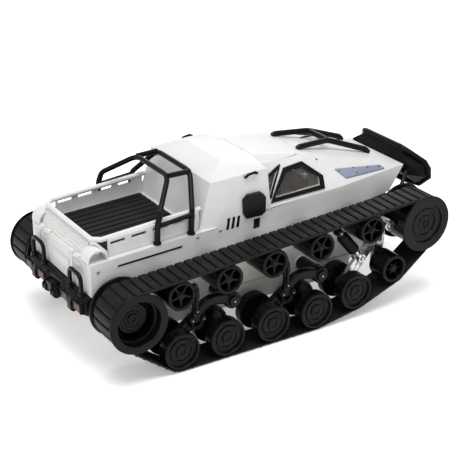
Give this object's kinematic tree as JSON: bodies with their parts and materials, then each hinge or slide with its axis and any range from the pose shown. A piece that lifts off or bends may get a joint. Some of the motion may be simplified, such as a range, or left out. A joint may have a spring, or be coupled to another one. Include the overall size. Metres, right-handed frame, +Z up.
{
  "type": "tracked vehicle chassis",
  "caption": "Tracked model truck chassis with pickup body, rubber tracks on drums, road wheels on rocking bogies, return rollers, sprung front arms and roll cage.",
  "frame": {"origin": "on the ground under the middle of the model's box", "axes": "+X forward along the model, +Y to its left, +Z up"},
  "size_m": [0.421, 0.226, 0.1704],
  "materials": {
    "body_white": "satin white",
    "tub_plastic": "moulded, satin",
    "black_rubber": "matt",
    "black_plastic": "satin black",
    "lamp_red": "clear red lens",
    "smoked_window": "smoked clear plastic",
    "lamp_plate": "satin blue-grey",
    "alloy": "cast and tumbled",
    "motor_steel": "plated cans",
    "battery_wrap": "shrink wrap",
    "board_green": "solder mask",
    "screw_steel": "zinc plated",
    "track_rubber": "moulded, satin",
    "wheel_black": "satin black",
    "arm_plastic": "satin black"
  },
  "bodies": {
    "hull": {"chassis_tub": "tub_plastic", "body_shell": "body_white", "bed_walls": "body_white", "tailgate": "body_white", "bed_mat": "black_rubber", "roll_cage": "black_plastic", "hatch_guard": "black_plastic", "front_bumper": "black_plastic", "rear_bumper": "black_plastic", "tail_lights": "lamp_red", "body_trim": "black_plastic", "window_glass": "smoked_window", "light_plates": "lamp_plate", "front_brackets": "alloy", "drive_motors": "motor_steel", "battery": "battery_wrap", "control_board": "board_green", "body_screws": "screw_steel", "track_left": "track_rubber", "track_right": "track_rubber"},
    "rear_drum_left": {"rear_drum_left": "wheel_black"},
    "front_drum_left": {"front_drum_left": "wheel_black"},
    "small_wheel_left": {"small_wheel_left": "wheel_black"},
    "roller_1_left": {"roller_1_left": "wheel_black"},
    "roller_2_left": {"roller_2_left": "wheel_black"},
    "roller_3_left": {"roller_3_left": "wheel_black"},
    "roller_4_left": {"roller_4_left": "wheel_black"},
    "roller_5_left": {"roller_5_left": "wheel_black"},
    "rear_swing_arm_left": {"rear_swing_arm_left": "arm_plastic"},
    "rear_rocker_left": {"rear_rocker_left": "arm_plastic"},
    "mid_swing_arm_left": {"mid_swing_arm_left": "arm_plastic"},
    "mid_rocker_left": {"mid_rocker_left": "arm_plastic"},
    "front_arm_left": {"front_arm_left": "alloy"},
    "road_wheel_1_left": {"road_wheel_1_left": "wheel_black"},
    "road_wheel_2_left": {"road_wheel_2_left": "wheel_black"},
    "road_wheel_3_left": {"road_wheel_3_left": "wheel_black"},
    "road_wheel_4_left": {"road_wheel_4_left": "wheel_black"},
    "road_wheel_5_left": {"road_wheel_5_left": "wheel_black"},
    "shock_body_left": {"shock_body_left": "arm_plastic"},
    "shock_rod_left": {"shock_rod_left": "screw_steel"},
    "rear_drum_right": {"rear_drum_right": "wheel_black"},
    "front_drum_right": {"front_drum_right": "wheel_black"},
    "small_wheel_right": {"small_wheel_right": "wheel_black"},
    "roller_1_right": {"roller_1_right": "wheel_black"},
    "roller_2_right": {"roller_2_right": "wheel_black"},
    "roller_3_right": {"roller_3_right": "wheel_black"},
    "roller_4_right": {"roller_4_right": "wheel_black"},
    "roller_5_right": {"roller_5_right": "wheel_black"},
    "rear_swing_arm_right": {"rear_swing_arm_right": "arm_plastic"},
    "rear_rocker_right": {"rear_rocker_right": "arm_plastic"},
    "mid_swing_arm_right": {"mid_swing_arm_right": "arm_plastic"},
    "mid_rocker_right": {"mid_rocker_right": "arm_plastic"},
    "front_arm_right": {"front_arm_right": "alloy"},
    "road_wheel_1_right": {"road_wheel_1_right": "wheel_black"},
    "road_wheel_2_right": {"road_wheel_2_right": "wheel_black"},
    "road_wheel_3_right": {"road_wheel_3_right": "wheel_black"},
    "road_wheel_4_right": {"road_wheel_4_right": "wheel_black"},
    "road_wheel_5_right": {"road_wheel_5_right": "wheel_black"},
    "shock_body_right": {"shock_body_right": "arm_plastic"},
    "shock_rod_right": {"shock_rod_right": "screw_steel"}
  },
  "joints": [
    {"name": "rear_drum_spin_left", "type": "hinge", "parent": "hull", "child": "rear_drum_left", "pos_m": [-0.17, 0.09, 0.064], "axis": [0, 1, 0], "continuous": true},
    {"name": "front_drum_spin_left", "type": "hinge", "parent": "hull", "child": "front_drum_left", "pos_m": [0.16, 0.09, 0.0856], "axis": [0, 1, 0], "continuous": true},
    {"name": "small_wheel_spin_left", "type": "hinge", "parent": "hull", "child": "small_wheel_left", "pos_m": [0.1233, 0.099, 0.0432], "axis": [0, 1, 0], "continuous": true},
    {"name": "roller_1_spin_left", "type": "hinge", "parent": "hull", "child": "roller_1_left", "pos_m": [-0.1235, 0.091, 0.0778], "axis": [0, 1, 0], "continuous": true},
    {"name": "roller_2_spin_left", "type": "hinge", "parent": "hull", "child": "roller_2_left", "pos_m": [-0.072, 0.091, 0.08118], "axis": [0, 1, 0], "continuous": true},
    {"name": "roller_3_spin_left", "type": "hinge", "parent": "hull", "child": "roller_3_left", "pos_m": [-0.021, 0.091, 0.08451], "axis": [0, 1, 0], "continuous": true},
    {"name": "roller_4_spin_left", "type": "hinge", "parent": "hull", "child": "roller_4_left", "pos_m": [0.0335, 0.091, 0.08808], "axis": [0, 1, 0], "continuous": true},
    {"name": "roller_5_spin_left", "type": "hinge", "parent": "hull", "child": "roller_5_left", "pos_m": [0.095, 0.091, 0.09211], "axis": [0, 1, 0], "continuous": true},
    {"name": "rear_arm_swing_left", "type": "hinge", "parent": "hull", "child": "rear_swing_arm_left", "pos_m": [-0.0606, 0.09, 0.0513], "axis": [0, 1, 0], "range_deg": [-3, 6], "stiffness_Nm_per_rad": 2, "deforming": ["track_left"]},
    {"name": "rear_rocker_tip_left", "type": "hinge", "parent": "rear_swing_arm_left", "child": "rear_rocker_left", "pos_m": [-0.1, 0.087, 0.038], "axis": [0, 1, 0], "range_deg": [-6, 6], "deforming": ["track_left"]},
    {"name": "mid_arm_swing_left", "type": "hinge", "parent": "hull", "child": "mid_swing_arm_left", "pos_m": [0.0419, 0.09, 0.0513], "axis": [0, 1, 0], "range_deg": [-3, 6], "stiffness_Nm_per_rad": 2, "deforming": ["track_left"]},
    {"name": "mid_rocker_tip_left", "type": "hinge", "parent": "mid_swing_arm_left", "child": "mid_rocker_left", "pos_m": [0.0025, 0.087, 0.038], "axis": [0, 1, 0], "range_deg": [-6, 6], "deforming": ["track_left"]},
    {"name": "front_arm_swing_left", "type": "hinge", "parent": "hull", "child": "front_arm_left", "pos_m": [0.126, 0.09, 0.086], "axis": [0, 1, 0], "range_deg": [-2, 6], "stiffness_Nm_per_rad": 3, "deforming": ["track_left"]},
    {"name": "road_wheel_1_spin_left", "type": "hinge", "parent": "rear_rocker_left", "child": "road_wheel_1_left", "pos_m": [-0.125, 0.09, 0.0216], "axis": [0, 1, 0], "continuous": true},
    {"name": "road_wheel_2_spin_left", "type": "hinge", "parent": "rear_rocker_left", "child": "road_wheel_2_left", "pos_m": [-0.075, 0.09, 0.0216], "axis": [0, 1, 0], "continuous": true},
    {"name": "road_wheel_3_spin_left", "type": "hinge", "parent": "mid_rocker_left", "child": "road_wheel_3_left", "pos_m": [-0.023, 0.09, 0.0216], "axis": [0, 1, 0], "continuous": true},
    {"name": "road_wheel_4_spin_left", "type": "hinge", "parent": "mid_rocker_left", "child": "road_wheel_4_left", "pos_m": [0.028, 0.09, 0.0216], "axis": [0, 1, 0], "continuous": true},
    {"name": "road_wheel_5_spin_left", "type": "hinge", "parent": "front_arm_left", "child": "road_wheel_5_left", "pos_m": [0.076, 0.09, 0.0299], "axis": [0, 1, 0], "continuous": true},
    {"name": "shock_pivot_left", "type": "hinge", "parent": "hull", "child": "shock_body_left", "pos_m": [0.063, 0.093, 0.0924], "axis": [0, 1, 0], "range_deg": [-0.08, 0.22]},
    {"name": "shock_slide_left", "type": "slide", "parent": "shock_body_left", "child": "shock_rod_left", "axis": [-0.6441, 0, 0.7649], "range_m": [-0.0016, 0.0047]},
    {"name": "rear_drum_spin_right", "type": "hinge", "parent": "hull", "child": "rear_drum_right", "pos_m": [-0.17, -0.09, 0.064], "axis": [0, 1, 0], "continuous": true},
    {"name": "front_drum_spin_right", "type": "hinge", "parent": "hull", "child": "front_drum_right", "pos_m": [0.16, -0.09, 0.0856], "axis": [0, 1, 0], "continuous": true},
    {"name": "small_wheel_spin_right", "type": "hinge", "parent": "hull", "child": "small_wheel_right", "pos_m": [0.1233, -0.099, 0.0432], "axis": [0, 1, 0], "continuous": true},
    {"name": "roller_1_spin_right", "type": "hinge", "parent": "hull", "child": "roller_1_right", "pos_m": [-0.1235, -0.091, 0.0778], "axis": [0, 1, 0], "continuous": true},
    {"name": "roller_2_spin_right", "type": "hinge", "parent": "hull", "child": "roller_2_right", "pos_m": [-0.072, -0.091, 0.08118], "axis": [0, 1, 0], "continuous": true},
    {"name": "roller_3_spin_right", "type": "hinge", "parent": "hull", "child": "roller_3_right", "pos_m": [-0.021, -0.091, 0.08451], "axis": [0, 1, 0], "continuous": true},
    {"name": "roller_4_spin_right", "type": "hinge", "parent": "hull", "child": "roller_4_right", "pos_m": [0.0335, -0.091, 0.08808], "axis": [0, 1, 0], "continuous": true},
    {"name": "roller_5_spin_right", "type": "hinge", "parent": "hull", "child": "roller_5_right", "pos_m": [0.095, -0.091, 0.09211], "axis": [0, 1, 0], "continuous": true},
    {"name": "rear_arm_swing_right", "type": "hinge", "parent": "hull", "child": "rear_swing_arm_right", "pos_m": [-0.0606, -0.09, 0.0513], "axis": [0, 1, 0], "range_deg": [-3, 6], "stiffness_Nm_per_rad": 2, "deforming": ["track_right"]},
    {"name": "rear_rocker_tip_right", "type": "hinge", "parent": "rear_swing_arm_right", "child": "rear_rocker_right", "pos_m": [-0.1, -0.087, 0.038], "axis": [0, 1, 0], "range_deg": [-6, 6], "deforming": ["track_right"]},
    {"name": "mid_arm_swing_right", "type": "hinge", "parent": "hull", "child": "mid_swing_arm_right", "pos_m": [0.0419, -0.09, 0.0513], "axis": [0, 1, 0], "range_deg": [-3, 6], "stiffness_Nm_per_rad": 2, "deforming": ["track_right"]},
    {"name": "mid_rocker_tip_right", "type": "hinge", "parent": "mid_swing_arm_right", "child": "mid_rocker_right", "pos_m": [0.0025, -0.087, 0.038], "axis": [0, 1, 0], "range_deg": [-6, 6], "deforming": ["track_right"]},
    {"name": "front_arm_swing_right", "type": "hinge", "parent": "hull", "child": "front_arm_right", "pos_m": [0.126, -0.09, 0.086], "axis": [0, 1, 0], "range_deg": [-2, 6], "stiffness_Nm_per_rad": 3, "deforming": ["track_right"]},
    {"name": "road_wheel_1_spin_right", "type": "hinge", "parent": "rear_rocker_right", "child": "road_wheel_1_right", "pos_m": [-0.125, -0.09, 0.0216], "axis": [0, 1, 0], "continuous": true},
    {"name": "road_wheel_2_spin_right", "type": "hinge", "parent": "rear_rocker_right", "child": "road_wheel_2_right", "pos_m": [-0.075, -0.09, 0.0216], "axis": [0, 1, 0], "continuous": true},
    {"name": "road_wheel_3_spin_right", "type": "hinge", "parent": "mid_rocker_right", "child": "road_wheel_3_right", "pos_m": [-0.023, -0.09, 0.0216], "axis": [0, 1, 0], "continuous": true},
    {"name": "road_wheel_4_spin_right", "type": "hinge", "parent": "mid_rocker_right", "child": "road_wheel_4_right", "pos_m": [0.028, -0.09, 0.0216], "axis": [0, 1, 0], "continuous": true},
    {"name": "road_wheel_5_spin_right", "type": "hinge", "parent": "front_arm_right", "child": "road_wheel_5_right", "pos_m": [0.076, -0.09, 0.0299], "axis": [0, 1, 0], "continuous": true},
    {"name": "shock_pivot_right", "type": "hinge", "parent": "hull", "child": "shock_body_right", "pos_m": [0.063, -0.093, 0.0924], "axis": [0, 1, 0], "range_deg": [-0.08, 0.22]},
    {"name": "shock_slide_right", "type": "slide", "parent": "shock_body_right", "child": "shock_rod_right", "axis": [-0.6441, 0, 0.7649], "range_m": [-0.0016, 0.0047]}
  ],
  "couplings": [
    {"joint": "front_drum_spin_left", "follows": "rear_drum_spin_left", "ratio": 1},
    {"joint": "small_wheel_spin_left", "follows": "rear_drum_spin_left", "ratio": 1.7551},
    {"joint": "roller_1_spin_left", "follows": "rear_drum_spin_left", "ratio": 1.7671},
    {"joint": "roller_2_spin_left", "follows": "rear_drum_spin_left", "ratio": 1.7671},
    {"joint": "roller_3_spin_left", "follows": "rear_drum_spin_left", "ratio": 1.7671},
    {"joint": "roller_4_spin_left", "follows": "rear_drum_spin_left", "ratio": 1.7671},
    {"joint": "roller_5_spin_left", "follows": "rear_drum_spin_left", "ratio": 1.7671},
    {"joint": "road_wheel_1_spin_left", "follows": "rear_drum_spin_left", "ratio": 1.3797},
    {"joint": "road_wheel_2_spin_left", "follows": "rear_drum_spin_left", "ratio": 1.3797},
    {"joint": "road_wheel_3_spin_left", "follows": "rear_drum_spin_left", "ratio": 1.3797},
    {"joint": "road_wheel_4_spin_left", "follows": "rear_drum_spin_left", "ratio": 1.3797},
    {"joint": "road_wheel_5_spin_left", "follows": "rear_drum_spin_left", "ratio": 1.3797},
    {"joint": "shock_pivot_left", "follows": "front_arm_swing_left", "ratio": 0.036},
    {"joint": "shock_slide_left", "follows": "front_arm_swing_left", "m_per_rad": 0.0441},
    {"joint": "front_drum_spin_right", "follows": "rear_drum_spin_right", "ratio": 1},
    {"joint": "small_wheel_spin_right", "follows": "rear_drum_spin_right", "ratio": 1.7551},
    {"joint": "roller_1_spin_right", "follows": "rear_drum_spin_right", "ratio": 1.7671},
    {"joint": "roller_2_spin_right", "follows": "rear_drum_spin_right", "ratio": 1.7671},
    {"joint": "roller_3_spin_right", "follows": "rear_drum_spin_right", "ratio": 1.7671},
    {"joint": "roller_4_spin_right", "follows": "rear_drum_spin_right", "ratio": 1.7671},
    {"joint": "roller_5_spin_right", "follows": "rear_drum_spin_right", "ratio": 1.7671},
    {"joint": "road_wheel_1_spin_right", "follows": "rear_drum_spin_right", "ratio": 1.3797},
    {"joint": "road_wheel_2_spin_right", "follows": "rear_drum_spin_right", "ratio": 1.3797},
    {"joint": "road_wheel_3_spin_right", "follows": "rear_drum_spin_right", "ratio": 1.3797},
    {"joint": "road_wheel_4_spin_right", "follows": "rear_drum_spin_right", "ratio": 1.3797},
    {"joint": "road_wheel_5_spin_right", "follows": "rear_drum_spin_right", "ratio": 1.3797},
    {"joint": "shock_pivot_right", "follows": "front_arm_swing_right", "ratio": 0.036},
    {"joint": "shock_slide_right", "follows": "front_arm_swing_right", "m_per_rad": 0.0441}
  ]
}
